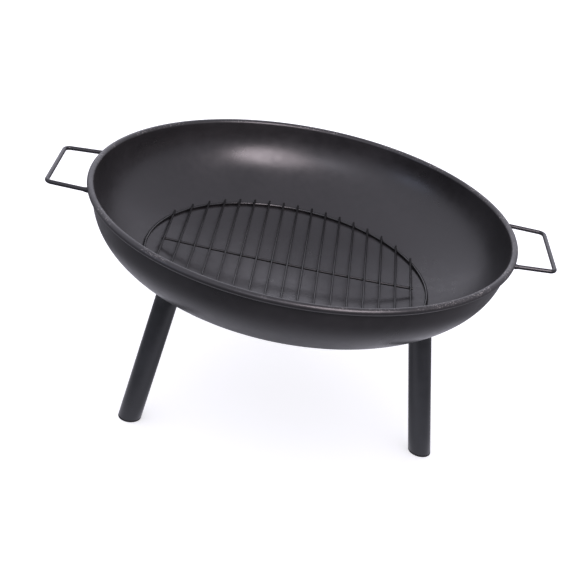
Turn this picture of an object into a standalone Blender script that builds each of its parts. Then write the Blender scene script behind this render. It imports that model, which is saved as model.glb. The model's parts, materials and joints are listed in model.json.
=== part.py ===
"""Steel fire bowl on three splayed tube legs, with a loose round wire grate.

Metres, +Z up. The floor is z = 0 under the bowl's centre. The handles lie on the X axis, and the
front is -Y.
"""

import math
from typing import NamedTuple

import bmesh
import bpy
from mathutils import Matrix, Vector

# Bowl: one spun steel sheet with its edge rolled outwards.
RIM_RADIUS = 0.300
RIM_HEIGHT = 0.3106
BEAD_RADIUS = 0.0048
SHEET = 0.0015
BOWL_DEPTH = 0.124
FLOOR_RADIUS = 0.035
WALL_FULLNESS = 2.42
CURL_TURN = math.radians(290)

# Handles: bent round rods, welded level to the lower outside of the bead.
HANDLE_ROD_RADIUS = 0.003
HANDLE_REACH = 0.348
HANDLE_DROP = 0.006
HANDLE_HALF_WIDTH_AT_RIM = 0.0678
HANDLE_HALF_WIDTH_AT_TIP = 0.0622
HANDLE_BEND_RADIUS = 0.009

# Legs: round tubes cut level at the floor and parallel to the bowl's wall at the top. Each hangs on
# one screw, so each takes a slightly different stance.
class Stance(NamedTuple):
    azimuth: float
    splay: float
    foot_radius: float


LEGS = {
    "front_left": Stance(math.radians(-146), math.radians(10.1), 0.229),
    "front_right": Stance(math.radians(-21.5), math.radians(12.8), 0.2435),
    "rear": Stance(math.radians(96), math.radians(11.4), 0.236),
}
TUBE_RADIUS = 0.016
TUBE_WALL = 0.0015
CAP_THICKNESS = 0.0025
CAP_PLUG_LENGTH = 0.014
STUD_RADIUS = 0.004
STUD_LENGTH = 0.026
STUD_WELD_RADIUS = 0.0065
STUD_WELD_HEIGHT = 0.0025
NUT_TOP = 0.006
NUT_THICKNESS = 0.014

# Grate: parallel wires laid on a wire ring, with one thicker wire under them.
GRATE_RADIUS = 0.203
GRATE_SHIFT = -0.0085
GRATE_TURN = math.radians(-1.6)
RING_WIRE_RADIUS = 0.002
BAR_WIRE_RADIUS = 0.0015
BAR_COUNT = 17
BAR_PITCH = 0.0224
BAR_OVERHANG = 0.005
CROSS_WIRE_OFFSET = 0.0115
CROSS_WIRE_OVERHANG = 0.004
GRATE_SAG = 0.003

# Clearance between pieces that touch on the real object.
GAP = 0.0003

# Smoothness.
BOWL_SEGMENTS = 72
WALL_STEPS = 16
CURL_STEPS = 10
TUBE_SEGMENTS = 32
STUD_SEGMENTS = 16
BEND_STEPS = 6
RING_SEGMENTS = 96
WIRE_STEPS = 8
ROD_RESOLUTION = 4
WIRE_RESOLUTION = 2
SHARP_ANGLE = math.radians(35)

TUBE_BORE_RADIUS = TUBE_RADIUS - TUBE_WALL
SATIN_BLACK = (0.018, 0.018, 0.020)
GRATE_BLACK = (0.022, 0.021, 0.021)
PLUG_BLACK = (0.010, 0.010, 0.011)
ZINC = (0.55, 0.55, 0.53)


def remove_everything():
    for item in list(bpy.data.objects):
        bpy.data.objects.remove(item, do_unlink=True)


def paint(item, colour, roughness, metallic):
    """Give an object its own Principled material, named after it."""
    material = bpy.data.materials.new(item.name)
    material.use_nodes = True
    shader = material.node_tree.nodes["Principled BSDF"]
    shader.inputs["Base Color"].default_value = (*colour, 1.0)
    shader.inputs["Roughness"].default_value = roughness
    shader.inputs["Metallic"].default_value = metallic
    item.data.materials.append(material)
    return item


def add_mesh(name, bm):
    """Turn a bmesh into a smooth-shaded object and free the bmesh."""
    bmesh.ops.recalc_face_normals(bm, faces=bm.faces)
    mesh = bpy.data.meshes.new(name)
    bm.to_mesh(mesh)
    bm.free()
    mesh.shade_smooth()
    mesh.set_sharp_from_angle(angle=SHARP_ANGLE)
    item = bpy.data.objects.new(name, mesh)
    bpy.context.collection.objects.link(item)
    return item


def add_rod(name, points, radius, resolution, closed=False):
    """A round rod along a list of points, with flat ends or joined into a loop."""
    curve = bpy.data.curves.new(name, "CURVE")
    curve.dimensions = "3D"
    curve.bevel_depth = radius
    curve.bevel_resolution = resolution
    curve.use_fill_caps = True
    spline = curve.splines.new("POLY")
    spline.points.add(len(points) - 1)
    for spline_point, place in zip(spline.points, points):
        spline_point.co = (*place, 1.0)
    spline.use_cyclic_u = closed
    spline.use_smooth = True
    item = bpy.data.objects.new(name, curve)
    bpy.context.collection.objects.link(item)
    return item


# ---------------------------------------------------------------- bowl


def bowl_sheet():
    """(r, z) points on the sheet's middle, from the axis over the wall to the end of the rolled edge."""
    curl_radius = BEAD_RADIUS - SHEET / 2
    bead_centre = RIM_RADIUS - BEAD_RADIUS
    wall_radius = bead_centre - curl_radius
    points = [(0.0, RIM_HEIGHT - BOWL_DEPTH)]
    for step in range(WALL_STEPS):
        turn = math.pi / 2 * step / WALL_STEPS
        out = math.sin(turn) ** (2 / WALL_FULLNESS)
        down = math.cos(turn) ** (2 / WALL_FULLNESS)
        radius = FLOOR_RADIUS + (wall_radius - FLOOR_RADIUS) * out
        points.append((radius, RIM_HEIGHT - BOWL_DEPTH * down))
    for step in range(CURL_STEPS + 1):
        turn = math.pi - CURL_TURN * step / CURL_STEPS
        radius = bead_centre + curl_radius * math.cos(turn)
        points.append((radius, RIM_HEIGHT + curl_radius * math.sin(turn)))
    return points


def offset_profile(points, distance):
    """Move an (r, z) line sideways: a positive distance goes to its right, which is under the bowl."""
    moved = []
    last = len(points) - 1
    for index, (radius, height) in enumerate(points):
        before = points[max(index - 1, 0)]
        after = points[min(index + 1, last)]
        run = after[0] - before[0]
        rise = after[1] - before[1]
        length = math.hypot(run, rise)
        if index == 0:
            run, rise, length = 1.0, 0.0, 1.0
        moved.append((radius + distance * rise / length, height - distance * run / length))
    return moved


def make_bowl():
    middle = bowl_sheet()
    underside = offset_profile(middle, SHEET / 2)
    inside = offset_profile(middle, -SHEET / 2)
    outline = underside + inside[::-1]
    bm = bmesh.new()
    verts = [bm.verts.new((radius, 0.0, height)) for radius, height in outline]
    edges = [bm.edges.new(pair) for pair in zip(verts, verts[1:])]
    bmesh.ops.spin(
        bm,
        geom=verts + edges,
        cent=(0, 0, 0),
        axis=(0, 0, 1),
        angle=math.tau,
        steps=BOWL_SEGMENTS,
        use_merge=True,
    )
    bmesh.ops.remove_doubles(bm, verts=bm.verts, dist=1e-6)
    return paint(add_mesh("fire_bowl", bm), SATIN_BLACK, 0.42, 0.0)


# ---------------------------------------------------------------- handles


def rounded_path(corners, radius):
    """The corners as a path whose inner corners are arcs of the given radius."""
    path = [corners[0]]
    for before, corner, after in zip(corners, corners[1:], corners[2:]):
        towards_before = (before - corner).normalized()
        towards_after = (after - corner).normalized()
        half_angle = towards_before.angle(towards_after) / 2
        middle = (towards_before + towards_after).normalized()
        centre = corner + middle * radius / math.sin(half_angle)
        start = corner + towards_before * radius / math.tan(half_angle) - centre
        end = corner + towards_after * radius / math.tan(half_angle) - centre
        sweep = start.angle(end)
        for step in range(BEND_STEPS + 1):
            part = step / BEND_STEPS
            spoke = start * math.sin((1 - part) * sweep) + end * math.sin(part * sweep)
            path.append(centre + spoke / math.sin(sweep))
    path.append(corners[-1])
    return path


def make_handle(name, side):
    """A flat U whose two ends stop at the outside of the bead, below its middle."""
    height = RIM_HEIGHT - HANDLE_DROP
    rod_top = HANDLE_DROP - HANDLE_ROD_RADIUS
    bead_reach = RIM_RADIUS - BEAD_RADIUS + math.sqrt(BEAD_RADIUS**2 - rod_top**2) + 2 * GAP
    inner_x = math.sqrt(bead_reach**2 - (HANDLE_HALF_WIDTH_AT_RIM - HANDLE_ROD_RADIUS) ** 2)
    corners = [
        Vector((side * inner_x, -HANDLE_HALF_WIDTH_AT_RIM, height)),
        Vector((side * HANDLE_REACH, -HANDLE_HALF_WIDTH_AT_TIP, height)),
        Vector((side * HANDLE_REACH, HANDLE_HALF_WIDTH_AT_TIP, height)),
        Vector((side * inner_x, HANDLE_HALF_WIDTH_AT_RIM, height)),
    ]
    path = rounded_path(corners, HANDLE_BEND_RADIUS)
    return paint(add_rod(name, path, HANDLE_ROD_RADIUS, ROD_RESOLUTION), SATIN_BLACK, 0.45, 0.0)


# ---------------------------------------------------------------- legs


def leg_axis(stance):
    """A point and a direction: the leg's axis before it is turned to its azimuth, pointing up."""
    return Vector((stance.foot_radius, 0, 0)), Vector((-math.sin(stance.splay), 0, math.cos(stance.splay)))


def leg_seat(stance):
    """Where the leg's axis meets the bowl's underside, and the underside's outward normal there."""
    foot, up = leg_axis(stance)
    underside = offset_profile(bowl_sheet(), SHEET / 2)
    for (r0, z0), (r1, z1) in zip(underside, underside[1:]):
        beyond0 = r0 - (foot.x + up.x / up.z * z0)
        beyond1 = r1 - (foot.x + up.x / up.z * z1)
        if beyond0 <= 0 < beyond1:
            part = beyond0 / (beyond0 - beyond1)
            place = Vector((r0 + part * (r1 - r0), 0, z0 + part * (z1 - z0)))
            return place, Vector((z1 - z0, 0, r0 - r1)).normalized()
    raise ValueError("the leg's axis misses the bowl")


def section(stance, radius, place, normal, segments):
    """The ring of points where a cylinder about the leg's axis meets a plane."""
    foot, up = leg_axis(stance)
    sideways = Vector((0, 1, 0))
    outwards = sideways.cross(up)
    ring = []
    for step in range(segments):
        turn = math.tau * step / segments
        start = foot + radius * (outwards * math.cos(turn) + sideways * math.sin(turn))
        ring.append(start + up * normal.dot(place - start) / normal.dot(up))
    return ring


def add_lofted(name, rings, azimuth, hollow):
    """Skin from ring to ring. A hollow piece joins its last ring to its first, a solid one is capped."""
    bm = bmesh.new()
    turn = Matrix.Rotation(azimuth, 4, "Z")
    loops = [[bm.verts.new(turn @ place) for place in ring] for ring in rings]
    pairs = list(zip(loops, loops[1:]))
    if hollow:
        pairs.append((loops[-1], loops[0]))
    else:
        bm.faces.new(loops[0][::-1])
        bm.faces.new(loops[-1])
    for lower, upper in pairs:
        for index in range(len(lower)):
            after = (index + 1) % len(lower)
            bm.faces.new((lower[index], lower[after], upper[after], upper[index]))
    return add_mesh(name, bm)


def make_leg(name, stance):
    """A tube, the plug in its foot, the stud it hangs on and the threaded plug in its top."""
    level = Vector((0, 0, 1))
    floor = Vector((0, 0, 0))
    seat, seat_normal = leg_seat(stance)
    _, up = leg_axis(stance)
    tube_top = seat + seat_normal * GAP
    tube_foot = level * (CAP_THICKNESS + GAP)
    tube = [
        section(stance, TUBE_RADIUS, tube_foot, level, TUBE_SEGMENTS),
        section(stance, TUBE_RADIUS, tube_top, seat_normal, TUBE_SEGMENTS),
        section(stance, TUBE_BORE_RADIUS, tube_top, seat_normal, TUBE_SEGMENTS),
        section(stance, TUBE_BORE_RADIUS, tube_foot, level, TUBE_SEGMENTS),
    ]
    paint(add_lofted(f"leg_tube_{name}", tube, stance.azimuth, True), SATIN_BLACK, 0.45, 0.0)

    plug_radius = TUBE_BORE_RADIUS - GAP
    shoulder = level * CAP_THICKNESS
    plug_end = level * (CAP_THICKNESS + CAP_PLUG_LENGTH)
    cap = [
        section(stance, TUBE_RADIUS, floor, level, TUBE_SEGMENTS),
        section(stance, TUBE_RADIUS, shoulder, level, TUBE_SEGMENTS),
        section(stance, plug_radius, shoulder, level, TUBE_SEGMENTS),
        section(stance, plug_radius, plug_end, level, TUBE_SEGMENTS),
    ]
    paint(add_lofted(f"leg_cap_{name}", cap, stance.azimuth, False), PLUG_BLACK, 0.6, 0.0)

    weld_foot = tube_top + seat_normal * STUD_WELD_HEIGHT
    stud_end = tube_top - up * STUD_LENGTH
    stud = [
        section(stance, STUD_WELD_RADIUS, tube_top, seat_normal, STUD_SEGMENTS),
        section(stance, STUD_RADIUS, weld_foot, seat_normal, STUD_SEGMENTS),
        section(stance, STUD_RADIUS, stud_end, up, STUD_SEGMENTS),
    ]
    paint(add_lofted(f"leg_stud_{name}", stud, stance.azimuth, False), ZINC, 0.4, 1.0)

    nut_top = tube_top - up * NUT_TOP
    nut_foot = nut_top - up * NUT_THICKNESS
    nut = [
        section(stance, plug_radius, nut_foot, up, TUBE_SEGMENTS),
        section(stance, plug_radius, nut_top, up, TUBE_SEGMENTS),
        section(stance, STUD_RADIUS + GAP, nut_top, up, TUBE_SEGMENTS),
        section(stance, STUD_RADIUS + GAP, nut_foot, up, TUBE_SEGMENTS),
    ]
    paint(add_lofted(f"leg_nut_{name}", nut, stance.azimuth, True), ZINC, 0.4, 1.0)


# ---------------------------------------------------------------- grate


def wall_height(radius):
    """Height at which the middle of the ring's wire rests on the bowl's inside at this radius."""
    line = offset_profile(bowl_sheet(), -(SHEET / 2 + GAP + RING_WIRE_RADIUS))
    for (r0, z0), (r1, z1) in zip(line, line[1:]):
        if r0 <= radius < r1:
            return z0 + (z1 - z0) * (radius - r0) / (r1 - r0)
    raise ValueError("the grate is wider than the bowl")


def grate_frame():
    """Matrix of the grate's middle: shifted along X, and tipped so that both sides rest on the wall."""
    high = wall_height(GRATE_RADIUS + abs(GRATE_SHIFT))
    low = wall_height(GRATE_RADIUS - abs(GRATE_SHIFT))
    tilt = -math.copysign(math.asin((high - low) / (2 * GRATE_RADIUS)), GRATE_SHIFT)
    place = Vector((GRATE_SHIFT, 0, (high + low) / 2))
    turn = Matrix.Rotation(tilt, 4, "Y") @ Matrix.Rotation(GRATE_TURN, 4, "Z")
    return Matrix.Translation(place) @ turn


def sag(across):
    """How far the grate's middle hangs below its ring, at a place along the cross wire."""
    return GRATE_SAG * (1 - (across / GRATE_RADIUS) ** 2)


def make_ring(frame):
    points = []
    for step in range(RING_SEGMENTS):
        turn = math.tau * step / RING_SEGMENTS
        spoke = Vector((GRATE_RADIUS * math.cos(turn), GRATE_RADIUS * math.sin(turn), 0))
        points.append(frame @ spoke)
    ring = add_rod("grate_ring", points, RING_WIRE_RADIUS, WIRE_RESOLUTION, closed=True)
    paint(ring, GRATE_BLACK, 0.5, 0.0)


def bar_place(number):
    """Where a bar, counted from one, lies along the cross wire."""
    return BAR_PITCH * (number - (BAR_COUNT + 1) / 2)


def make_bar(frame, number):
    """One bar: its ends rest on the ring, and it bows down to the cross wire."""
    across = bar_place(number)
    half_chord = math.sqrt(GRATE_RADIUS**2 - across**2)
    half_length = half_chord + BAR_OVERHANG
    lift = RING_WIRE_RADIUS + GAP + BAR_WIRE_RADIUS
    points = []
    for step in range(WIRE_STEPS + 1):
        along = half_length * (2 * step / WIRE_STEPS - 1)
        drop = sag(across) * (1 - (along / half_chord) ** 2)
        points.append(frame @ Vector((across, along, lift - drop)))
    bar = add_rod(f"grate_bar_{number:02d}", points, BAR_WIRE_RADIUS, WIRE_RESOLUTION)
    paint(bar, GRATE_BLACK, 0.5, 0.0)


def make_cross_wire(frame):
    """The wire under the bars: it follows their bow and ends just past the outer two."""
    half_length = bar_place(BAR_COUNT) + CROSS_WIRE_OVERHANG
    steps = 2 * WIRE_STEPS
    points = []
    for step in range(steps + 1):
        across = half_length * (2 * step / steps - 1)
        points.append(frame @ Vector((across, CROSS_WIRE_OFFSET, -sag(across))))
    wire = add_rod("grate_cross_wire", points, RING_WIRE_RADIUS, WIRE_RESOLUTION)
    paint(wire, GRATE_BLACK, 0.5, 0.0)


def main():
    remove_everything()
    make_bowl()
    make_handle("handle_left", -1)
    make_handle("handle_right", 1)
    for name, stance in LEGS.items():
        make_leg(name, stance)
    frame = grate_frame()
    make_ring(frame)
    for number in range(1, BAR_COUNT + 1):
        make_bar(frame, number)
    make_cross_wire(frame)


if __name__ == "__main__":
    main()
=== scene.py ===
"""Finished look of a steel fire bowl on three splayed legs, with a loose wire grate.

Metres, +Z up, the front is -Y. Each sub-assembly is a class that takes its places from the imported
frame and adds only what the eye needs: rolled edges, bends, welds, ribbed plugs and the paint itself.
"""

import json
import logging
import math
from dataclasses import dataclass
from enum import Enum
from typing import Any

import bmesh
import bpy
import numpy as np
from mathutils import Matrix, Vector

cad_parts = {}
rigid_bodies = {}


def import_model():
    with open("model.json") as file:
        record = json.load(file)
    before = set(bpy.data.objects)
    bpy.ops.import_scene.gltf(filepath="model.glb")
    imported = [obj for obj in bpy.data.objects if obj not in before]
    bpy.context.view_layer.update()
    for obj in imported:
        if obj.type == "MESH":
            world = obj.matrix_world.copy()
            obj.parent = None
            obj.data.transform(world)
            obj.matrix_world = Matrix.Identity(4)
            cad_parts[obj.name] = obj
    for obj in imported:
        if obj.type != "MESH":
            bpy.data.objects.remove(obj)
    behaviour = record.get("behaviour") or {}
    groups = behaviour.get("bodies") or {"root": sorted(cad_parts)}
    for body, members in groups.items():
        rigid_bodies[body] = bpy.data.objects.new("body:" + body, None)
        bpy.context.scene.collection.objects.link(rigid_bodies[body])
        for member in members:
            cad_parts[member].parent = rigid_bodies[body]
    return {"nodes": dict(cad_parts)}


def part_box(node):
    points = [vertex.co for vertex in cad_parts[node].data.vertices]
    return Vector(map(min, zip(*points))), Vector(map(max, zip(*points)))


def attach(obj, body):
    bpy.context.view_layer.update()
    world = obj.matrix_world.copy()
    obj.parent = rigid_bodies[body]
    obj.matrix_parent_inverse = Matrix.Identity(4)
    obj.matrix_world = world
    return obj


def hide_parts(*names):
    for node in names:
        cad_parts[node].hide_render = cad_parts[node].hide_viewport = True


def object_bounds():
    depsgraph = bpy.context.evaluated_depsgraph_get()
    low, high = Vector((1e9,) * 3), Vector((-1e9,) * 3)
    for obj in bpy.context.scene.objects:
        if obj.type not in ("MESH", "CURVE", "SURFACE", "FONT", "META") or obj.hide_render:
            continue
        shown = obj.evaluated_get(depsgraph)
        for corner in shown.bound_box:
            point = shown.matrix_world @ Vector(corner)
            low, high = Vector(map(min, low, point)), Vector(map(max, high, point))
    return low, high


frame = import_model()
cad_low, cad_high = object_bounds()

log = logging.getLogger("fire_pit")

MERGE_DISTANCE = 1e-6
SHARP_ANGLE = math.radians(38)
FOOT_TOLERANCE = 1e-4
LAMP_AIM = 0.7  # the part of the object's height that the lamps point at

Triple = tuple[float, float, float]
Colour = Triple
Band = tuple[float, float]
Profile = list[tuple[float, float]]
Socket = bpy.types.NodeSocket

UP = Vector((0, 0, 1))
BLACK: Colour = (0.0, 0.0, 0.0)
WHITE: Colour = (1.0, 1.0, 1.0)
MIDDLE_BAND: Band = (0.3, 0.7)  # where nearly all of a noise texture's values lie


class Body(Enum):
    """The two bodies that the pieces ride on."""

    BOWL = "fire_bowl_on_legs"
    GRATE = "grate"


class Slot(Enum):
    """The record's material slots."""

    PAINT = "satin_black_paint"
    WIRE = "grate_paint"
    PLUG = "black_plug"
    PLATED = "plated_steel"


# ---------------------------------------------------------------- shared tools


class NodeBench:
    """Adds and links nodes in one node tree."""

    def __init__(self, tree: bpy.types.NodeTree) -> None:
        """Keep the tree."""
        self.tree = tree

    def add(self, kind: str, inputs: dict[str | int, Any] | None = None, **settings: Any) -> bpy.types.Node:
        """Add a node.

        Args:
            kind: The node's type name.
            inputs: Values or sockets for its inputs, by name or index.
            settings: Values for the node's own properties.

        Returns:
            The new node.
        """
        node = self.tree.nodes.new(kind)
        for name, value in settings.items():
            setattr(node, name, value)
        for key, value in (inputs or {}).items():
            if isinstance(value, Socket):
                self.tree.links.new(value, node.inputs[key])
            else:
                node.inputs[key].default_value = value
        return node

    def math(self, operation: str, *values: Any) -> Socket:
        """Add a Math node.

        Args:
            operation: Its operation, such as MULTIPLY.
            values: Up to three numbers or sockets.

        Returns:
            The socket with the result.
        """
        return self.add("ShaderNodeMath", dict(enumerate(values)), operation=operation).outputs[0]

    def ramp(self, source: Socket, low: float, high: float, first: float = 0.0,
             last: float = 1.0) -> Socket:
        """Map a value smoothly from one range to another.

        Args:
            source: The value.
            low: Where the source range starts.
            high: Where the source range ends.
            first: The result at low.
            last: The result at high.

        Returns:
            The socket with the result.
        """
        node = self.add(
            "ShaderNodeMapRange",
            {"Value": source, "From Min": low, "From Max": high, "To Min": first, "To Max": last},
            interpolation_type="SMOOTHSTEP",
        )
        return node.outputs["Result"]

    def noise(self, place: Socket, scale: float, detail: float) -> Socket:
        """Add a noise texture.

        Args:
            place: The coordinates.
            scale: How many times a metre it changes.
            detail: How many finer layers it has.

        Returns:
            The socket with its value.
        """
        inputs = {"Vector": place, "Scale": scale, "Detail": detail}
        return self.add("ShaderNodeTexNoise", inputs).outputs["Fac"]

    def bump(self, height: Socket, depth: float, normal: Socket | None = None) -> Socket:
        """Add a Bump node.

        Args:
            height: The relief, from 0 to 1.
            depth: How deep it is, in metres.
            normal: The normal of a relief under it.

        Returns:
            The socket with the bumped normal.
        """
        inputs = {"Height": height, "Strength": 1.0, "Distance": depth}
        if normal is not None:
            inputs["Normal"] = normal
        return self.add("ShaderNodeBump", inputs).outputs[0]

    def mix(self, part: Socket, first: Socket | Colour, second: Colour) -> Socket:
        """Mix two colours.

        Args:
            part: How much of the second shows.
            first: The first colour, or a socket that carries it.
            second: The second colour.

        Returns:
            The socket with the mixed colour.
        """
        start = first if isinstance(first, Socket) else (*first, 1.0)
        return self.add("ShaderNodeMix", {0: part, 6: start, 7: (*second, 1.0)}, data_type="RGBA").outputs[2]


def node_points(name: str) -> np.ndarray:
    """Read a CAD node's corners.

    Args:
        name: The node.

    Returns:
        Its distinct corners in metres, one row each.
    """
    mesh = frame["nodes"][name].data
    flat = np.empty(len(mesh.vertices) * 3)
    mesh.vertices.foreach_get("co", flat)
    return np.unique(flat.reshape(-1, 3).round(6), axis=0)


def new_object(name: str, mesh: bpy.types.Mesh) -> bpy.types.Object:
    """Put a mesh in the scene as an object at the origin.

    Args:
        name: The object's name.
        mesh: Its mesh.

    Returns:
        The new object.
    """
    item = bpy.data.objects.new(name, mesh)
    bpy.context.scene.collection.objects.link(item)
    return item


def finish_mesh(name: str, bm: bmesh.types.BMesh) -> bpy.types.Object:
    """Merge a bmesh's doubles, turn its faces outwards and put it in the scene, shaded smooth.

    Args:
        name: The object's name.
        bm: The mesh, which is freed.

    Returns:
        The new object.
    """
    bmesh.ops.remove_doubles(bm, verts=bm.verts, dist=MERGE_DISTANCE)
    bmesh.ops.recalc_face_normals(bm, faces=bm.faces)
    mesh = bpy.data.meshes.new(name)
    bm.to_mesh(mesh)
    bm.free()
    mesh.shade_smooth()
    mesh.set_sharp_from_angle(angle=SHARP_ANGLE)
    return new_object(name, mesh)


def skin(bm: bmesh.types.BMesh, rings: list[list[Vector]], closed: bool) -> None:
    """Skin from ring to ring.

    Args:
        bm: Takes the faces.
        rings: Rings with the same number of points.
        closed: Whether the last ring joins the first. If not, both ends are capped.
    """
    loops = [[bm.verts.new(place) for place in ring] for ring in rings]
    pairs = list(zip(loops, loops[1:]))
    if closed:
        pairs.append((loops[-1], loops[0]))
    else:
        bm.faces.new(loops[0][::-1])
        bm.faces.new(loops[-1])
    for lower, upper in pairs:
        for index in range(len(lower)):
            after = (index + 1) % len(lower)
            bm.faces.new((lower[index], lower[after], upper[after], upper[index]))


def spin(name: str, outline: Profile, segments: int) -> bpy.types.Object:
    """Turn an outline about the Z axis. Its first and last points lie on the axis.

    Args:
        name: The object's name.
        outline: Radius and height of each point.
        segments: Number of steps round the axis.

    Returns:
        The closed, turned piece.
    """
    bm = bmesh.new()
    turns = [math.tau * step / segments for step in range(segments)]
    loops = [
        [bm.verts.new((radius * math.cos(turn), radius * math.sin(turn), height)) for turn in turns]
        for radius, height in outline[1:-1]
    ]
    for lower, upper in zip(loops, loops[1:]):
        for index in range(segments):
            after = (index + 1) % segments
            bm.faces.new((lower[index], lower[after], upper[after], upper[index]))
    for pole_height, loop in ((outline[0][1], loops[0]), (outline[-1][1], loops[-1])):
        pole = bm.verts.new((0.0, 0.0, pole_height))
        for index in range(segments):
            bm.faces.new((pole, loop[index], loop[(index + 1) % segments]))
    return finish_mesh(name, bm)


def tube_rings(path: list[Vector], radii: list[float], sides: int, up: Vector,
               closed: bool = False) -> list[list[Vector]]:
    """Rings round a path that lies nearly in one plane.

    Args:
        path: Points along the middle.
        radii: Radius at each point.
        sides: Points in each ring.
        up: The plane's normal.
        closed: Whether the path joins up.

    Returns:
        One ring for each point.
    """
    rings = []
    last = len(path) - 1
    turns = [math.tau * step / sides for step in range(sides)]
    for index, (place, radius) in enumerate(zip(path, radii)):
        before = path[index - 1] if closed or index else path[0]
        after = path[(index + 1) % len(path)] if closed or index < last else path[last]
        along = (after - before).normalized()
        side = along.cross(up).normalized()
        over = side.cross(along)
        rings.append([place + radius * (side * math.cos(turn) + over * math.sin(turn)) for turn in turns])
    return rings


# ---------------------------------------------------------------- finishes


def new_material(name: str) -> tuple[bpy.types.Material, NodeBench, bpy.types.Node]:
    """Start a material.

    Args:
        name: Its name.

    Returns:
        The material, the bench for its nodes and its Principled shader.
    """
    material = bpy.data.materials.new(name)
    material.use_nodes = True
    return material, NodeBench(material.node_tree), material.node_tree.nodes["Principled BSDF"]


@dataclass(frozen=True)
class SatinPaint:
    """Satin heat-resistant black, baked on: fine orange peel, slow changes of sheen, and lighter specks high
    up that are partly rubbed paint, partly a painted highlight.

    The lighter specks, partly rubbed paint and partly a painted highlight, grow between two heights that a
    piece can set. Unless a piece sets them, both lie above the object.
    """

    slot: Slot = Slot.PAINT
    colour: Colour = (0.0105, 0.0100, 0.0108)
    rub_and_highlight_colour: Colour = (0.150, 0.145, 0.140)
    roughness: float = 0.34
    sheen_change: float = 0.05
    specular: float = 0.5
    peel_scale: float = 620.0
    peel_depth: float = 0.00003
    spun: bool = False
    rub_and_highlight_from: float = 10.0
    rub_and_highlight_to: float = 11.0
    worn_roughness: float = 0.12
    patch_scale: float = 16.0
    patch_band: Band = (0.46, 0.60)
    speck_scale: float = 420.0
    speck_band: Band = (0.53, 0.66)
    cloud_scale: float = 7.0
    cloud_part: float = 0.6
    mottle_scale: float = 85.0
    mottle_part: float = 0.4
    mottle_sheen: float = 0.025
    shade_band: Band = (0.35, 0.65)
    shade_range: Band = (0.82, 1.18)
    groove_scale: float = 380.0
    groove_depth: float = 0.000025

    def build(self, name: str) -> bpy.types.Material:
        """Build the material.

        Args:
            name: Its name.

        Returns:
            The material.
        """
        material, bench, shader = new_material(name)
        shader.inputs["Specular IOR Level"].default_value = self.specular
        place = bench.add("ShaderNodeTexCoord").outputs["Object"]
        cloud = bench.noise(place, self.cloud_scale, detail=3.0)
        mottle = bench.noise(place, self.mottle_scale, detail=5.0)
        peel = bench.noise(place, self.peel_scale, detail=2.0)
        rub_and_highlight = self.rub_and_highlight(bench, place)

        coarse = bench.math("MULTIPLY", cloud, self.cloud_part)
        both = bench.math("ADD", coarse, bench.math("MULTIPLY", mottle, self.mottle_part))
        shade = bench.ramp(both, *self.shade_band, *self.shade_range)
        tinted = bench.add("ShaderNodeVectorMath", {0: self.colour, "Scale": shade}, operation="SCALE")
        # painted highlight and rubbed paint: the colour lifts to a light grey in specks high on the bead
        colour = bench.mix(rub_and_highlight, tinted.outputs[0], self.rub_and_highlight_colour)
        bench.tree.links.new(colour, shader.inputs["Base Color"])

        sheen = bench.ramp(cloud, *MIDDLE_BAND, -self.sheen_change, self.sheen_change)
        rough = bench.math("ADD", sheen, self.roughness)
        flecks = bench.ramp(mottle, *MIDDLE_BAND, -self.mottle_sheen, self.mottle_sheen)
        rough = bench.math("ADD", rough, flecks)
        rough = bench.math("ADD", rough, bench.math("MULTIPLY", rub_and_highlight, self.worn_roughness))
        bench.tree.links.new(rough, shader.inputs["Roughness"])

        relief = bench.bump(peel, self.peel_depth)
        if self.spun:
            relief = bench.bump(self.grooves(bench, place), self.groove_depth, relief)
        bench.tree.links.new(relief, shader.inputs["Normal"])
        return material

    def grooves(self, bench: NodeBench, place: Socket) -> Socket:
        """The fine rings that spinning leaves round the bowl.

        Args:
            bench: The material's bench.
            place: Object coordinates.

        Returns:
            The socket with their height.
        """
        flat = bench.add("ShaderNodeVectorMath", {0: place, 1: (1, 1, 0)}, operation="MULTIPLY").outputs[0]
        reach = bench.add("ShaderNodeVectorMath", {0: flat}, operation="LENGTH").outputs["Value"]
        inputs = {"W": reach, "Scale": self.groove_scale, "Detail": 3.0}
        return bench.add("ShaderNodeTexNoise", inputs, noise_dimensions="1D").outputs["Fac"]

    def rub_and_highlight(self, bench: NodeBench, place: Socket) -> Socket:
        """Where the paint is rubbed and a highlight is painted, from 0 to 1: specks in patches, only high up.

        Args:
            bench: The material's bench.
            place: Object coordinates.

        Returns:
            The socket with the result.
        """
        height = bench.add("ShaderNodeSeparateXYZ", {0: place}).outputs["Z"]
        crest = bench.ramp(height, self.rub_and_highlight_from, self.rub_and_highlight_to)
        patches = bench.ramp(bench.noise(place, self.patch_scale, detail=2.0), *self.patch_band)
        specks = bench.ramp(bench.noise(place, self.speck_scale, detail=4.0), *self.speck_band)
        both = bench.math("MULTIPLY", patches, specks)
        return bench.math("MULTIPLY", both, crest)


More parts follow.
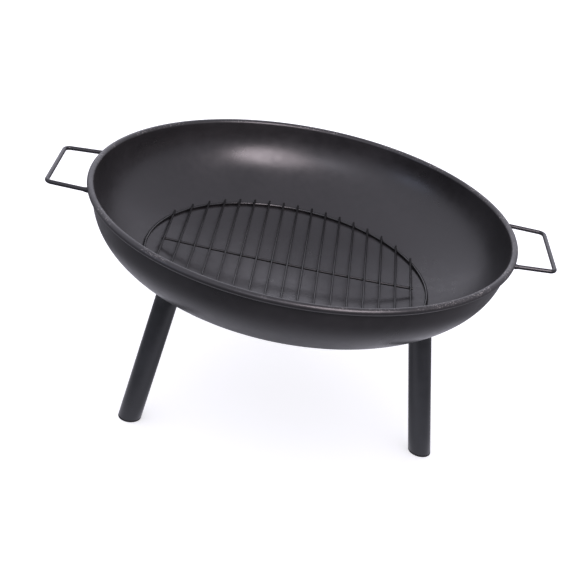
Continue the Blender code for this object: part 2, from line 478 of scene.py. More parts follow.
@dataclass(frozen=True)
class PlugPlastic:
    """Matt black moulded plastic with a fine grain."""

    slot: Slot = Slot.PLUG
    colour: Colour = (0.006, 0.006, 0.0065)
    roughness: float = 0.58
    specular: float = 0.3
    grain_scale: float = 1500.0
    grain_depth: float = 0.00004
    scuff_colour: Colour = (0.03, 0.03, 0.03)
    scuff_scale: float = 140.0
    scuff_band: Band = (0.5, 0.75)
    scuff_sheen: float = 0.06

    def build(self, name: str) -> bpy.types.Material:
        """Build the material.

        Args:
            name: Its name.

        Returns:
            The material.
        """
        material, bench, shader = new_material(name)
        shader.inputs["Specular IOR Level"].default_value = self.specular
        place = bench.add("ShaderNodeTexCoord").outputs["Object"]
        grain = bench.noise(place, self.grain_scale, detail=2.0)
        scuff = bench.noise(place, self.scuff_scale, detail=4.0)
        colour = bench.mix(bench.ramp(scuff, *self.scuff_band), self.colour, self.scuff_colour)
        sheen = bench.ramp(scuff, *MIDDLE_BAND, -self.scuff_sheen, self.scuff_sheen)
        rough = bench.math("ADD", sheen, self.roughness)
        bench.tree.links.new(colour, shader.inputs["Base Color"])
        bench.tree.links.new(rough, shader.inputs["Roughness"])
        bench.tree.links.new(bench.bump(grain, self.grain_depth), shader.inputs["Normal"])
        return material


@dataclass(frozen=True)
class PlatedSteel:
    """Zinc-plated steel with a slightly cloudy shine."""

    slot: Slot = Slot.PLATED
    bright: Colour = (0.62, 0.62, 0.60)
    dull: Colour = (0.38, 0.38, 0.37)
    roughness: float = 0.33
    cloud_scale: float = 260.0
    cloud_band: Band = (0.35, 0.7)
    cloud_sheen: Band = (-0.06, 0.10)
    cloud_depth: float = 0.00003

    def build(self, name: str) -> bpy.types.Material:
        """Build the material.

        Args:
            name: Its name.

        Returns:
            The material.
        """
        material, bench, shader = new_material(name)
        shader.inputs["Metallic"].default_value = 1.0
        place = bench.add("ShaderNodeTexCoord").outputs["Object"]
        cloud = bench.noise(place, self.cloud_scale, detail=5.0)
        colour = bench.mix(bench.ramp(cloud, *self.cloud_band), self.bright, self.dull)
        rough = bench.math("ADD", bench.ramp(cloud, *MIDDLE_BAND, *self.cloud_sheen), self.roughness)
        bench.tree.links.new(colour, shader.inputs["Base Color"])
        bench.tree.links.new(rough, shader.inputs["Roughness"])
        bench.tree.links.new(bench.bump(cloud, self.cloud_depth), shader.inputs["Normal"])
        return material


Finish = SatinPaint | PlugPlastic | PlatedSteel


class PaintShop:
    """Builds each finish once and dresses pieces with it."""

    def __init__(self) -> None:
        """Start with no materials."""
        self.made: dict[Finish, bpy.types.Material] = {}

    def material(self, finish: Finish) -> bpy.types.Material:
        """Return a finish's material, built on first use.

        Args:
            finish: The finish.

        Returns:
            Its material.
        """
        if finish not in self.made:
            self.made[finish] = finish.build(f"{finish.slot.value}_{len(self.made) + 1}")
        return self.made[finish]

    def hand_over(self, piece: bpy.types.Object, finish: Finish, body: Body, nodes: list[str]) -> None:
        """Args:
            piece: The piece.
            finish: What it is coated with.
            body: The body it rides on.
            nodes: The CAD nodes it stands for.
        """
        piece.data.materials.clear()
        piece.data.materials.append(self.material(finish))
        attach(piece, body.value)
        if nodes:
            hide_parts(*nodes)
        faces = len(piece.data.polygons)
        log.info("%s: %d faces, %s, rides on %s", piece.name, faces, finish.slot.value, body.value)


# ---------------------------------------------------------------- bowl


@dataclass
class FireBowl:
    """One spun sheet: a shallow round dish whose edge is rolled outwards into a bead."""

    shop: PaintShop
    sheet: float = 0.0015
    bead_radius: float = 0.0048
    floor_radius: float = 0.035
    fullness: float = 2.42
    crowding: float = 1.15
    curl_turn: float = math.radians(290)
    wall_steps: int = 56
    curl_steps: int = 40
    segments: int = 288

    def __post_init__(self) -> None:
        """Take the driving sizes from the CAD bowl's box."""
        low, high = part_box("fire_bowl")
        self.rim_radius = high[0]
        self.bead_height = high[2] - self.bead_radius
        self.depth = self.bead_height - low[2] - self.sheet / 2
        self.bead_middle = self.rim_radius - self.bead_radius

    def middle_line(self) -> Profile:
        """The sheet's middle, from the axis over the wall to the end of the rolled edge.

        Returns:
            Radius and height of each point. The wall's points stand closer together near the floor.
        """
        curl = self.bead_radius - self.sheet / 2
        reach = self.bead_middle - curl - self.floor_radius
        line = [(0.0, self.bead_height - self.depth)]
        for step in range(self.wall_steps):
            turn = math.pi / 2 * (step / self.wall_steps) ** self.crowding
            radius = self.floor_radius + reach * math.sin(turn) ** (2 / self.fullness)
            line.append((radius, self.bead_height - self.depth * math.cos(turn) ** (2 / self.fullness)))
        for step in range(self.curl_steps + 1):
            turn = math.pi - self.curl_turn * step / self.curl_steps
            line.append((self.bead_middle + curl * math.cos(turn), self.bead_height + curl * math.sin(turn)))
        return line

    def offset(self, distance: float) -> Profile:
        """Move the middle line sideways.

        Args:
            distance: How far: positive is towards the underside.

        Returns:
            The moved line.
        """
        line = self.middle_line()
        last = len(line) - 1
        moved = [(0.0, line[0][1] - distance)]
        for index in range(1, last + 1):
            before, after = line[index - 1], line[min(index + 1, last)]
            run, rise = after[0] - before[0], after[1] - before[1]
            length = math.hypot(run, rise)
            radius, height = line[index]
            moved.append((radius + distance * rise / length, height - distance * run / length))
        return moved

    def build(self) -> None:
        """Spin the sheet and paint it, with lighter specks along the bead's upper half: rubbed paint and a
        painted highlight.
        """
        underside = self.offset(self.sheet / 2)
        inside = self.offset(-self.sheet / 2)
        bowl = spin("fire_bowl_shell", underside + inside[::-1], self.segments)
        crest = self.bead_height + self.bead_radius
        paint = SatinPaint(spun=True, rub_and_highlight_from=crest - self.bead_radius, rub_and_highlight_to=crest)
        self.shop.hand_over(bowl, paint, Body.BOWL, ["fire_bowl"])


@dataclass
class Handle:
    """A rod bent into a flat U, with both ends welded to the outside of the bead."""

    shop: PaintShop
    name: str
    bowl: FireBowl
    rod_radius: float = 0.003
    half_width_at_rim: float = 0.0678
    half_width_at_tip: float = 0.0622
    bend_radius: float = 0.0085
    weld_rise: float = 0.0007
    weld_length: float = 0.0035
    step_length: float = 0.0006
    straight_stride: int = 3
    least_arc_steps: int = 4
    sides: int = 24
    paint: SatinPaint = SatinPaint(colour=(0.006, 0.006, 0.0075), roughness=0.30, specular=0.45)

    def path(self) -> list[Vector]:
        """The rod's middle, from weld to weld.

        Returns:
            Points along it, closer together in the bends.
        """
        low, high = (Vector(corner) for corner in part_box(self.name))
        height = (low.z + high.z) / 2
        side = 1.0 if high.x > 0 else -1.0
        tip = side * (max(abs(low.x), abs(high.x)) - self.rod_radius)
        reach = self.bowl.rim_radius - self.bowl.bead_radius / 2
        root = side * math.sqrt(reach**2 - self.half_width_at_rim**2)
        corners = [
            Vector((root, -self.half_width_at_rim, height)),
            Vector((tip, -self.half_width_at_tip, height)),
            Vector((tip, self.half_width_at_tip, height)),
            Vector((root, self.half_width_at_rim, height)),
        ]
        return self.rounded(corners)

    def rounded(self, corners: list[Vector]) -> list[Vector]:
        """Join corners with straight runs and arcs.

        Args:
            corners: The path's corners, in one plane.

        Returns:
            Points a step apart in the arcs, and further apart in the straight runs.
        """
        points = [corners[0]]
        for before, corner, after in zip(corners, corners[1:], corners[2:]):
            back, ahead = (before - corner).normalized(), (after - corner).normalized()
            half = back.angle(ahead) / 2
            centre = corner + (back + ahead).normalized() * self.bend_radius / math.sin(half)
            start = corner + back * self.bend_radius / math.tan(half) - centre
            end = corner + ahead * self.bend_radius / math.tan(half) - centre
            sweep = start.angle(end)
            self.run_to(points, centre + start)
            steps = max(self.least_arc_steps, round(sweep * self.bend_radius / self.step_length))
            for step in range(1, steps + 1):
                part = step / steps
                spoke = start * math.sin((1 - part) * sweep) + end * math.sin(part * sweep)
                points.append(centre + spoke / math.sin(sweep))
        self.run_to(points, corners[-1])
        return points

    def run_to(self, points: list[Vector], end: Vector) -> None:
        """Add points in a straight run to an end point.

        Args:
            points: The path so far, which grows.
            end: Where the run ends.
        """
        start = points[-1]
        steps = max(1, round((end - start).length / self.step_length / self.straight_stride))
        points.extend(start.lerp(end, step / steps) for step in range(1, steps + 1))

    def build(self) -> None:
        """Sweep the rod, swelling into its welds at the bead."""
        path = self.path()
        radii = []
        for place in path:
            clear = max(0.0, math.hypot(place.x, place.y) - self.bowl.rim_radius)
            radii.append(self.rod_radius + self.weld_rise * math.exp(-2 * (clear / self.weld_length) ** 2))
        bm = bmesh.new()
        skin(bm, tube_rings(path, radii, self.sides, UP), closed=False)
        rod = finish_mesh(f"{self.name}_rod", bm)
        self.shop.hand_over(rod, self.paint, Body.BOWL, [self.name])


# ---------------------------------------------------------------- legs


@dataclass
class Leg:
    """A splayed tube with a plastic plug in its foot, screwed on to a stud under the bowl."""

    shop: PaintShop
    name: str
    tube_radius: float = 0.016
    wall: float = 0.0015
    edge: float = 0.0005
    edge_round: float = 0.3
    tube_steps: int = 8
    plug_lip: float = 0.0025
    plug_round: float = 0.0012
    plug_round_steps: int = 6
    plug_depth: float = 0.014
    plug_slack: float = 0.0003
    plug_end_inset: float = 0.0012
    rib_count: int = 4
    rib_start: float = 0.003
    rib_pitch: float = 0.0028
    rib_outline: tuple[Band, ...] = ((0.0, 0.0008), (0.0009, 0.0), (0.0014, 0.0), (0.0018, 0.0008))
    sides: int = 96
    paint: SatinPaint = SatinPaint(colour=(0.0080, 0.0092, 0.0108))

    def __post_init__(self) -> None:
        """Take the tube's axis and its two cuts from the CAD tube."""
        points = node_points(f"leg_tube_{self.name}")
        lowest = points[:, 2].min()
        at_foot = points[:, 2] < lowest + FOOT_TOLERANCE
        top = points[~at_foot]
        self.foot = Vector(points[at_foot].mean(axis=0))
        self.top = Vector(top.mean(axis=0))
        self.axis = (self.top - self.foot).normalized()
        self.top_normal = Vector(np.linalg.svd(top - top.mean(axis=0))[2][2])
        if self.top_normal.z < 0:
            self.top_normal.negate()

    def section(self, radius: float, place: Vector, normal: Vector) -> list[Vector]:
        """Cut a cylinder about the leg's axis with a plane.

        Args:
            radius: The cylinder's radius.
            place: A point on the plane.
            normal: The plane's normal.

        Returns:
            The points where they meet.
        """
        sideways = UP.cross(self.axis).normalized()
        outwards = sideways.cross(self.axis)
        ring = []
        for step in range(self.sides):
            turn = math.tau * step / self.sides
            start = self.foot + radius * (outwards * math.cos(turn) + sideways * math.sin(turn))
            ring.append(start + self.axis * normal.dot(place - start) / normal.dot(self.axis))
        return ring

    def tube(self) -> None:
        """Make the painted tube, with the outer edges of its two cuts eased."""
        bore = self.tube_radius - self.wall
        ease = self.edge
        nick = ease * self.edge_round
        normal = self.top_normal
        run = (self.top - self.foot).length
        rings = [
            self.section(self.tube_radius - ease, self.foot, UP),
            self.section(self.tube_radius - nick, self.foot + UP * nick, UP),
            self.section(self.tube_radius, self.foot + UP * ease, UP),
        ]
        for step in range(1, self.tube_steps):
            middle = self.foot + self.axis * run * step / self.tube_steps
            across = UP.lerp(normal, step / self.tube_steps).normalized()
            rings.append(self.section(self.tube_radius, middle, across))
        rings += [
            self.section(self.tube_radius, self.top - normal * ease, normal),
            self.section(self.tube_radius - nick, self.top - normal * nick, normal),
            self.section(self.tube_radius - ease, self.top, normal),
            self.section(bore, self.top, normal),
            self.section(bore, self.foot, UP),
        ]
        bm = bmesh.new()
        skin(bm, rings, closed=True)
        piece = finish_mesh(f"leg_{self.name}_tube", bm)
        self.shop.hand_over(piece, self.paint, Body.BOWL, [f"leg_tube_{self.name}"])

    def plug(self) -> None:
        """Make the moulded plug: a rounded foot, a lip as wide as the tube and a ribbed stem inside it."""
        floor = Vector((self.foot.x, self.foot.y, 0.0))
        stem = self.tube_radius - self.wall - self.plug_slack
        outline = []
        for step in range(self.plug_round_steps + 1):
            turn = math.pi / 2 * step / self.plug_round_steps
            radius = self.tube_radius - self.plug_round * (1 - math.sin(turn))
            outline.append((radius, self.plug_round * (1 - math.cos(turn))))
        outline.append((self.tube_radius, self.plug_lip))
        outline.append((stem, self.plug_lip))
        for rib in range(self.rib_count):
            base = self.plug_lip + self.rib_start + self.rib_pitch * rib
            outline.extend((stem - inset, base + rise) for rise, inset in self.rib_outline)
        outline.append((stem - self.plug_end_inset, self.plug_lip + self.plug_depth))
        bm = bmesh.new()
        skin(bm, [self.section(radius, floor + UP * height, UP) for radius, height in outline], closed=False)
        piece = finish_mesh(f"leg_{self.name}_plug", bm)
        self.shop.hand_over(piece, PlugPlastic(), Body.BOWL, [f"leg_cap_{self.name}"])

    def build(self) -> None:
        """Make the tube and the plug, and plate the hidden stud and nut."""
        self.tube()
        self.plug()
        for kind in ("stud", "nut"):
            node = frame["nodes"][f"leg_{kind}_{self.name}"]
            node.data.materials.clear()
            node.data.materials.append(self.shop.material(PlatedSteel()))


# ---------------------------------------------------------------- grate


class WireTree:
    """A Geometry Nodes tree with named inputs that ends in Realize Instances and Set Material."""

    def __init__(self, name: str) -> None:
        """Make an empty tree with a geometry output.

        Args:
            name: The tree's name.
        """
        self.tree = bpy.data.node_groups.new(name, "GeometryNodeTree")
        self.tree.interface.new_socket("Geometry", in_out="OUTPUT", socket_type="NodeSocketGeometry")
        self.bench = NodeBench(self.tree)
        self.source = self.bench.add("NodeGroupInput")
        self.values: dict[str, Any] = {}

    def input(self, name: str, kind: str, value: Any) -> Socket:
        """Add a named input.

        Args:
            name: The input's name.
            kind: Its socket type, such as NodeSocketFloat.
            value: Its value on the modifier.

        Returns:
            The socket inside the tree.
        """
        socket = self.tree.interface.new_socket(name, in_out="INPUT", socket_type=kind)
        self.values[socket.identifier] = value
        return self.source.outputs[name]

    def close(self, geometry: Socket, place: Socket,
              turn: Socket, finish: Socket) -> None:
        """Place the geometry, make it real and give it its material.

        Args:
            geometry: What the tree has made.
            place: Where its middle goes.
            turn: How it is turned.
            finish: Its material.
        """
        placed = self.bench.add(
            "GeometryNodeTransform", {"Geometry": geometry, "Translation": place, "Rotation": turn}
        )
        real = self.bench.add("GeometryNodeRealizeInstances", {"Geometry": placed.outputs[0]})
        dressed = self.bench.add("GeometryNodeSetMaterial", {"Geometry": real.outputs[0], "Material": finish})
        self.bench.add("NodeGroupOutput", {0: dressed.outputs[0]})

    def bake(self, name: str) -> bpy.types.Object:
        """Run the tree once and keep the result as a plain mesh.

        Args:
            name: The new object's name.

        Returns:
            An object with no modifiers.
        """
        maker = new_object(f"{name}_maker", bpy.data.meshes.new(f"{name}_seed"))
        modifier = maker.modifiers.new("wires", "NODES")
        modifier.node_group = self.tree
        for identifier, value in self.values.items():
            modifier[identifier] = value
        graph = bpy.context.evaluated_depsgraph_get()
        mesh = bpy.data.meshes.new_from_object(maker.evaluated_get(graph))
        mesh.name = name
        bpy.data.objects.remove(maker, do_unlink=True)
        mesh.shade_smooth()
        mesh.set_sharp_from_angle(angle=SHARP_ANGLE)
        return new_object(name, mesh)


GRATE_BLACK: Colour = (0.0045, 0.0044, 0.0046)


@dataclass
class Grate:
    """Straight wires laid on a wire ring, with one thicker wire under them, spot-welded where they cross."""

    shop: PaintShop
    bar_count: int = 17
    ring_wire: float = 0.002
    bar_wire: float = 0.0015
    overhang: float = 0.005
    cross_overhang: float = 0.004
    cross_offset: float = 0.0115
    gap: float = 0.0001
    sag: float = 0.003
    bar_points: int = 41
    bar_sides: int = 14
    ring_steps: int = 360
    ring_sides: int = 16
    cross_steps: int = 80
    nugget_size: float = 1.25
    nugget_least: Triple = (1.0, 1.05, 0.55)
    nugget_most: Triple = (1.25, 1.45, 0.75)
    nugget_seed: int = 11
    butt_weld_turn: float = math.radians(97)
    butt_weld_length: float = 0.0016
    butt_weld_rise: float = 0.00035
    finish: SatinPaint = SatinPaint(
        slot=Slot.WIRE, colour=GRATE_BLACK, roughness=0.38, specular=0.38,
        peel_scale=900.0, peel_depth=0.00005,
    )
    ring_finish: SatinPaint = SatinPaint(
        slot=Slot.WIRE, colour=GRATE_BLACK, roughness=0.27, specular=0.6, peel_scale=900.0,
    )

    def __post_init__(self) -> None:
        """Take the grate's middle, tilt and turn from the CAD ring and bars."""
        ring = node_points("grate_ring")
        self.middle = Vector(ring.mean(axis=0))
        normal = Vector(np.linalg.svd(ring - ring.mean(axis=0), full_matrices=False)[2][2])
        if normal.z < 0:
            normal.negate()
        bar = node_points(self.bar_name((self.bar_count + 1) // 2))
        along = Vector(np.linalg.svd(bar - bar.mean(axis=0), full_matrices=False)[2][0])
        if along.y < 0:
            along.negate()
        across = along.cross(normal).normalized()
        along = normal.cross(across)
        self.turn = Matrix((across, along, normal)).transposed()
        spokes = (ring - ring.mean(axis=0)) @ np.array(self.turn)[:, :2]
        reach = np.linalg.norm(spokes, axis=1)
        self.radius = float((reach.min() + reach.max()) / 2)
        first = Vector(node_points(self.bar_name(1)).mean(axis=0))
        last = Vector(node_points(self.bar_name(self.bar_count)).mean(axis=0))
        self.pitch = (last - first).dot(across) / (self.bar_count - 1)

    @staticmethod
    def bar_name(number: int) -> str:
        """The CAD node of a bar, counted from one."""
        return f"grate_bar_{number:02d}"

    def drop(self, across: float, along: float) -> float:
        """How far the wires hang below the ring at a place on the grate."""
        return self.sag * (1 - (across**2 + along**2) / self.radius**2)

    def in_place(self, across: float, along: float, lift: float) -> Vector:
        """A point given on the grate's own axes, in the frame."""
        return self.middle + self.turn @ Vector((across, along, lift))

    def place_inputs(self, wires: WireTree) -> list[Socket]:
        """Add the inputs that put the grate in its place.

        Args:
            wires: The tree.

        Returns:
            Sockets for its middle, its turn and its material.
        """
        return [
            wires.input("Middle", "NodeSocketVector", self.middle),
            wires.input("Turn", "NodeSocketRotation", self.turn.to_euler()),
            wires.input("Finish", "NodeSocketMaterial", self.shop.material(self.finish)),
        ]

    def sagged(self, wires: WireTree, sag: Socket, radius: Socket,
               lift: Socket) -> Socket:
        """Offset field that lifts wires above the ring's plane and lets them sag to the middle.

        Args:
            wires: The tree.
            sag: Depth at the middle.
            radius: The ring's radius.
            lift: Height above the ring's plane before they sag.

        Returns:
            The offset vector.
        """
        bench = wires.bench
        place = bench.add("GeometryNodeInputPosition").outputs[0]
        squared = bench.add("ShaderNodeVectorMath", {0: place, 1: place}, operation="DOT_PRODUCT")
        part = bench.math("DIVIDE", squared.outputs["Value"], bench.math("MULTIPLY", radius, radius))
        hang = bench.math("MULTIPLY", sag, bench.math("SUBTRACT", 1.0, part))
        rise = bench.math("SUBTRACT", lift, hang)
        return bench.add("ShaderNodeCombineXYZ", {"Z": rise}).outputs[0]

    @staticmethod
    def bar_across(bench: NodeBench, number: Socket, count: Socket, pitch: Socket) -> Socket:
        """How far a bar lies from the grate's middle.

        Args:
            bench: The tree's bench.
            number: The bar, counted from nought.
            count: The number of bars.
            pitch: The distance from bar to bar.

        Returns:
            The socket with the distance.
        """
        middle = bench.math("DIVIDE", bench.math("SUBTRACT", count, 1.0), 2.0)
        return bench.math("MULTIPLY", bench.math("SUBTRACT", number, middle), pitch)

    @staticmethod
    def half_chord(bench: NodeBench, radius: Socket, across: Socket) -> Socket:
        """Half the ring's width where a bar crosses it.

        Args:
            bench: The tree's bench.
            radius: The ring's radius.
            across: How far the bar lies from the middle.

        Returns:
            The socket with the length.
        """
        squared = bench.math("MULTIPLY", radius, radius)
        return bench.math("SQRT", bench.math("SUBTRACT", squared, bench.math("MULTIPLY", across, across)))

    def bars(self) -> bpy.types.Object:
        """All the parallel wires, each as long as the ring is wide where it lies.

        Returns:
            The bars.
        """
        wires = WireTree("grate_bars")
        bench = wires.bench
        count = wires.input("Count", "NodeSocketInt", self.bar_count)
        pitch = wires.input("Pitch", "NodeSocketFloat", self.pitch)
        radius = wires.input("Ring radius", "NodeSocketFloat", self.radius)
        overhang = wires.input("Overhang", "NodeSocketFloat", self.overhang)
        thickness = wires.input("Wire radius", "NodeSocketFloat", self.bar_wire)
        lift = wires.input("Lift", "NodeSocketFloat", self.ring_wire + self.bar_wire + self.gap)
        sag = wires.input("Sag", "NodeSocketFloat", self.sag)
        place, turn, finish = self.place_inputs(wires)

        index = bench.add("GeometryNodeInputIndex").outputs[0]
        across = self.bar_across(bench, index, count, pitch)
        where = bench.add("ShaderNodeCombineXYZ", {"X": across}).outputs[0]
        points = bench.add("GeometryNodePoints", {"Count": count, "Position": where})
        line = bench.add("GeometryNodeCurvePrimitiveLine", {"Start": (0, -1, 0), "End": (0, 1, 0)})
        fine = bench.add("GeometryNodeResampleCurve", {"Curve": line.outputs[0], "Count": self.bar_points})
        position = bench.add("GeometryNodeInputPosition").outputs[0]
        here = bench.add("ShaderNodeSeparateXYZ", {0: position}).outputs["X"]
        reach = bench.math("ADD", self.half_chord(bench, radius, here), overhang)
        size = bench.add("ShaderNodeCombineXYZ", {"X": 1.0, "Y": reach, "Z": 1.0})
        laid = bench.add(
            "GeometryNodeInstanceOnPoints",
            {"Points": points.outputs[0], "Instance": fine.outputs[0], "Scale": size.outputs[0]},
        )
        real = bench.add("GeometryNodeRealizeInstances", {"Geometry": laid.outputs[0]})
        bowed = bench.add(
            "GeometryNodeSetPosition",
            {"Geometry": real.outputs[0], "Offset": self.sagged(wires, sag, radius, lift)},
        )
        circle = {"Resolution": self.bar_sides, "Radius": thickness}
        outline = bench.add("GeometryNodeCurvePrimitiveCircle", circle)
        rods = bench.add(
            "GeometryNodeCurveToMesh",
            {"Curve": bowed.outputs[0], "Profile Curve": outline.outputs[0], "Fill Caps": True},
        )
        wires.close(rods.outputs[0], place, turn, finish)
        return wires.bake("grate_bars")

    def weld_nuggets(self) -> bpy.types.Object:
        """A flattened blob of upset metal at every crossing, each a little different.

        Returns:
            The nuggets.
        """
        wires = WireTree("grate_welds")
        bench = wires.bench
        count = wires.input("Count", "NodeSocketInt", self.bar_count)
        pitch = wires.input("Pitch", "NodeSocketFloat", self.pitch)
        radius = wires.input("Ring radius", "NodeSocketFloat", self.radius)
        cross = wires.input("Cross wire offset", "NodeSocketFloat", self.cross_offset)
        size = wires.input("Nugget radius", "NodeSocketFloat", self.bar_wire * self.nugget_size)
        lift = wires.input("Lift", "NodeSocketFloat", self.ring_wire)
        sag = wires.input("Sag", "NodeSocketFloat", self.sag)
        seed = wires.input("Seed", "NodeSocketInt", self.nugget_seed)
        place, turn, finish = self.place_inputs(wires)

        index = bench.add("GeometryNodeInputIndex").outputs[0]
        kind = bench.math("SUBTRACT", bench.math("MODULO", index, 3.0), 1.0)
        bar = bench.math("FLOOR", bench.math("DIVIDE", index, 3.0))
        across = self.bar_across(bench, bar, count, pitch)
        chord = self.half_chord(bench, radius, across)
        at_cross = bench.math("MULTIPLY", bench.math("SUBTRACT", 1.0, bench.math("ABSOLUTE", kind)), cross)
        along = bench.math("ADD", bench.math("MULTIPLY", kind, chord), at_cross)
        where = bench.add("ShaderNodeCombineXYZ", {"X": across, "Y": along}).outputs[0]
        total = bench.math("MULTIPLY", count, 3.0)
        points = bench.add("GeometryNodePoints", {"Count": total, "Position": where})
        sunk = bench.add(
            "GeometryNodeSetPosition",
            {"Geometry": points.outputs[0], "Offset": self.sagged(wires, sag, radius, lift)},
        )
        ball = bench.add("GeometryNodeMeshIcoSphere", {"Radius": size, "Subdivisions": 3})
        spread = bench.add(
            "FunctionNodeRandomValue",
            {"Min": self.nugget_least, "Max": self.nugget_most, "Seed": seed},
            data_type="FLOAT_VECTOR",
        )
        laid = bench.add(
            "GeometryNodeInstanceOnPoints",
            {"Points": sunk.outputs[0], "Instance": ball.outputs[0], "Scale": spread.outputs[0]},
        )
        wires.close(laid.outputs[0], place, turn, finish)
        return wires.bake("grate_welds")

    def ring(self) -> bpy.types.Object:
        """The hoop, with the small upset of its butt weld at the back.

        Returns:
            The ring.
        """
        path, radii = [], []
        for step in range(self.ring_steps):
            turn = math.tau * step / self.ring_steps
            path.append(self.in_place(self.radius * math.cos(turn), self.radius * math.sin(turn), 0.0))
            away = (turn - self.butt_weld_turn) * self.radius / self.butt_weld_length
            radii.append(self.ring_wire + self.butt_weld_rise * math.exp(-(away**2)))
        bm = bmesh.new()
        skin(bm, tube_rings(path, radii, self.ring_sides, self.turn @ UP, closed=True), closed=True)
        return finish_mesh("grate_hoop", bm)

    def cross_wire(self) -> bpy.types.Object:
        """The thicker wire under the bars.

        Returns:
            The cross wire.
        """
        half = self.pitch * (self.bar_count - 1) / 2 + self.cross_overhang
        path = []
        for step in range(self.cross_steps + 1):
            across = half * (2 * step / self.cross_steps - 1)
            path.append(self.in_place(across, self.cross_offset, -self.drop(across, 0.0)))
        bm = bmesh.new()
        radii = [self.ring_wire] * len(path)
        skin(bm, tube_rings(path, radii, self.ring_sides, self.turn @ UP), closed=False)
        return finish_mesh("grate_cross_rod", bm)

    def build(self) -> None:
        """Make the whole grate and put it on its body."""
        bar_names = [self.bar_name(number) for number in range(1, self.bar_count + 1)]
        self.shop.hand_over(self.ring(), self.ring_finish, Body.GRATE, ["grate_ring"])
        self.shop.hand_over(self.bars(), self.finish, Body.GRATE, bar_names)
        self.shop.hand_over(self.cross_wire(), self.finish, Body.GRATE, ["grate_cross_wire"])
        self.shop.hand_over(self.weld_nuggets(), self.finish, Body.GRATE, [])


# ---------------------------------------------------------------- studio


@dataclass(frozen=True)
class Softbox:
    """A round diffused lamp, placed by where it stands seen from the bowl."""

    name: str
    bearing: float
    elevation: float
    distance: float
    radius: float
    radiance: float
    colour: Colour

    def build(self, aim: Vector, lights_only: bpy.types.Collection) -> None:
        """Hang the lamp and turn it to the bowl.

        Args:
            aim: What it points at.
            lights_only: The collection that gets its light. Nothing else does.
        """
        lamp = bpy.data.lights.new(self.name, "AREA")
        lamp.shape = "DISK"
        lamp.size = self.radius * 2
        lamp.energy = self.radiance * math.pi * math.pi * self.radius**2
        lamp.color = self.colour
        item = bpy.data.objects.new(self.name, lamp)
        bpy.context.scene.collection.objects.link(item)
        turn, lift = math.radians(self.bearing), math.radians(self.elevation)
        away = Vector((math.sin(turn) * math.cos(lift), -math.cos(turn) * math.cos(lift), math.sin(lift)))
        item.location = aim + away * self.distance
        item.rotation_euler = away.to_track_quat("Z", "Y").to_euler()
        item.light_linking.receiver_collection = lights_only


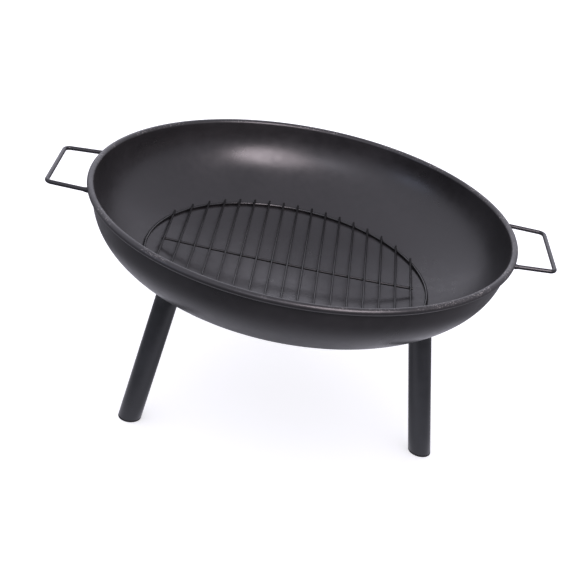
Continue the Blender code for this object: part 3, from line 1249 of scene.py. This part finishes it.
@dataclass
class Studio:
    """A white floor that glows a little, a pale surround, and softboxes that light only the object.

    Each band is where a level changes: in the surround a part of the unit direction, on the card metres
    from its middle.
    """

    floor_size: float = 30.0
    floor_colour: Colour = (0.88, 0.88, 0.88)
    floor_roughness: float = 0.9
    floor_glow: float = 0.55
    floor_name: str = "studio_floor"
    tint: Colour = (0.97, 0.955, 1.08)
    sky_band: Band = (-0.5, 0.15)
    sky_levels: Band = (1.2, 0.84)
    ground_band: Band = (0.1, 0.7)
    ground_levels: Band = (0.27, 0.38)
    horizon_band: Band = (-0.30, 0.50)
    rear_level: float = 0.85
    rear_depth_band: Band = (0.66, 0.94)
    rear_foot_band: Band = (0.05, 0.30)
    rear_head_band: Band = (0.50, 0.80)
    card_name: str = "bounce_card"
    card_radius: float = 0.56
    card_sides: int = 96
    card_drop: float = 0.001
    card_shade_band: Band = (0.06, 0.26)
    card_shade_levels: Band = (0.36, 0.84)
    card_edge_band: Band = (0.28, 0.52)
    card_edge_levels: Band = (1.0, 0.30)
    softboxes: tuple[Softbox, ...] = (
        Softbox("key_softbox", bearing=30.0, elevation=40.0, distance=3.0, radius=0.95, radiance=11.5,
                colour=(1.0, 0.88, 0.945)),
        Softbox("near_softbox", bearing=-14.0, elevation=37.0, distance=3.2, radius=0.5, radiance=3.4,
                colour=(0.88, 0.88, 1.0)),
        Softbox("fill_softbox", bearing=-64.0, elevation=11.0, distance=3.4, radius=0.6, radiance=1.7,
                colour=(0.60, 0.70, 1.0)),
    )

    def floor(self) -> None:
        """Lay the floor, which only the camera sees."""
        half = self.floor_size / 2
        corners = [(-half, -half, 0), (half, -half, 0), (half, half, 0), (-half, half, 0)]
        mesh = bpy.data.meshes.new(self.floor_name)
        mesh.from_pydata(corners, [], [(0, 1, 2, 3)])
        item = new_object(self.floor_name, mesh)
        material, _, shader = new_material(self.floor_name)
        shader.inputs["Base Color"].default_value = (*self.floor_colour, 1.0)
        shader.inputs["Roughness"].default_value = self.floor_roughness
        shader.inputs["Specular IOR Level"].default_value = 0.0
        shader.inputs["Emission Color"].default_value = (*WHITE, 1.0)
        shader.inputs["Emission Strength"].default_value = self.floor_glow
        mesh.materials.append(material)
        item.visible_glossy = False
        item.visible_diffuse = False
        item.visible_shadow = False

    def bounce_card(self) -> None:
        """Lay a glowing disc just under the floor, unseen by the camera: the light the floor throws back."""
        mesh = bpy.data.meshes.new(self.card_name)
        bm = bmesh.new()
        bmesh.ops.create_circle(bm, cap_ends=True, segments=self.card_sides, radius=self.card_radius)
        bmesh.ops.translate(bm, verts=bm.verts, vec=(0.0, 0.0, -self.card_drop))
        bm.to_mesh(mesh)
        bm.free()
        item = new_object(self.card_name, mesh)
        material, bench, shader = new_material(self.card_name)
        shader.inputs["Base Color"].default_value = (*BLACK, 1.0)
        shader.inputs["Specular IOR Level"].default_value = 0.0
        shader.inputs["Emission Color"].default_value = (*self.tint, 1.0)
        place = bench.add("ShaderNodeTexCoord").outputs["Object"]
        reach = bench.add("ShaderNodeVectorMath", {0: place}, operation="LENGTH").outputs["Value"]
        shaded = bench.ramp(reach, *self.card_shade_band, *self.card_shade_levels)
        fading = bench.ramp(reach, *self.card_edge_band, *self.card_edge_levels)
        bench.tree.links.new(bench.math("MULTIPLY", shaded, fading), shader.inputs["Emission Strength"])
        mesh.materials.append(material)
        item.visible_camera = False

    def world(self) -> None:
        """Surround the set with white: brighter on the left, dim underneath, with a glow low at the back."""
        world = bpy.data.worlds.new("studio")
        bpy.context.scene.world = world
        world.use_nodes = True
        bench = NodeBench(world.node_tree)
        background = world.node_tree.nodes["Background"]
        direction = bench.add("ShaderNodeTexCoord").outputs["Generated"]
        across, depth, height = bench.add("ShaderNodeSeparateXYZ", {0: direction}).outputs
        sky = bench.ramp(across, *self.sky_band, *self.sky_levels)
        ground = bench.ramp(depth, *self.ground_band, *self.ground_levels)
        horizon = bench.ramp(height, *self.horizon_band)
        above = bench.math("MULTIPLY", sky, horizon)
        foot = bench.ramp(height, *self.rear_foot_band)
        head = bench.ramp(height, *self.rear_head_band, self.rear_level, 0.0)
        rear = bench.math("MULTIPLY", bench.ramp(depth, *self.rear_depth_band), foot)
        rear = bench.math("MULTIPLY", rear, head)
        below = bench.math("MULTIPLY", ground, bench.math("SUBTRACT", 1.0, horizon))
        level = bench.math("ADD", bench.math("ADD", above, below), rear)
        bench.tree.links.new(level, background.inputs["Strength"])
        background.inputs["Color"].default_value = (*self.tint, 1.0)

    def build(self, aim: Vector) -> None:
        """Build the set around the finished object.

        Args:
            aim: The middle of what it lights.
        """
        lit_object = bpy.data.collections.new("lit_object")
        for item in bpy.context.scene.objects:
            if item.type == "MESH":
                lit_object.objects.link(item)
        self.floor()
        self.bounce_card()
        self.world()
        for softbox in self.softboxes:
            softbox.build(aim, lit_object)
        bpy.context.scene.view_settings.view_transform = "Standard"


@dataclass
class Viewpoint:
    """The camera: a long lens from a little above the rim, rolled to the left."""

    azimuth: float = -1.974
    elevation: float = 27.504
    roll: float = 10.977
    distance: float = 1.73696
    lens: float = 78.34
    sensor: float = 36.0
    aim_x: float = -0.00281
    aim_y: float = -0.05481
    aim_below_top: float = 0.10979
    clip_start: float = 0.05
    clip_end: float = 60.0

    def build(self) -> None:
        """Place the camera and make it the scene's."""
        aim = Vector((self.aim_x, self.aim_y, cad_high[2] - self.aim_below_top))
        turn, lift, roll = (math.radians(value) for value in (self.azimuth, self.elevation, self.roll))
        ahead = Vector((-math.sin(turn) * math.cos(lift), math.cos(turn) * math.cos(lift), -math.sin(lift)))
        right = Vector((math.cos(turn), math.sin(turn), 0.0))
        over = right.cross(ahead)
        tipped_right = right * math.cos(roll) + over * math.sin(roll)
        tipped_over = over * math.cos(roll) - right * math.sin(roll)
        lens = bpy.data.cameras.new("viewpoint")
        lens.sensor_width = self.sensor
        lens.lens = self.lens
        lens.clip_start = self.clip_start
        lens.clip_end = self.clip_end
        item = bpy.data.objects.new("viewpoint", lens)
        bpy.context.scene.collection.objects.link(item)
        axes = Matrix((tipped_right, tipped_over, -ahead)).transposed()
        item.matrix_world = Matrix.Translation(aim - ahead * self.distance) @ axes.to_4x4()
        bpy.context.scene.camera = item


def main() -> None:
    """Build the camera, the bowl with its handles, the legs and the grate, then the studio round them."""
    logging.basicConfig(level=logging.INFO, format="%(name)s: %(message)s")
    Viewpoint().build()
    shop = PaintShop()
    bowl = FireBowl(shop)
    bowl.build()
    for side in ("handle_left", "handle_right"):
        Handle(shop, side, bowl).build()
    for name in ("front_left", "front_right", "rear"):
        Leg(shop, name).build()
    Grate(shop).build()
    Studio().build(Vector((0.0, 0.0, cad_high[2] * LAMP_AIM)))


if __name__ == "__main__":
    main()
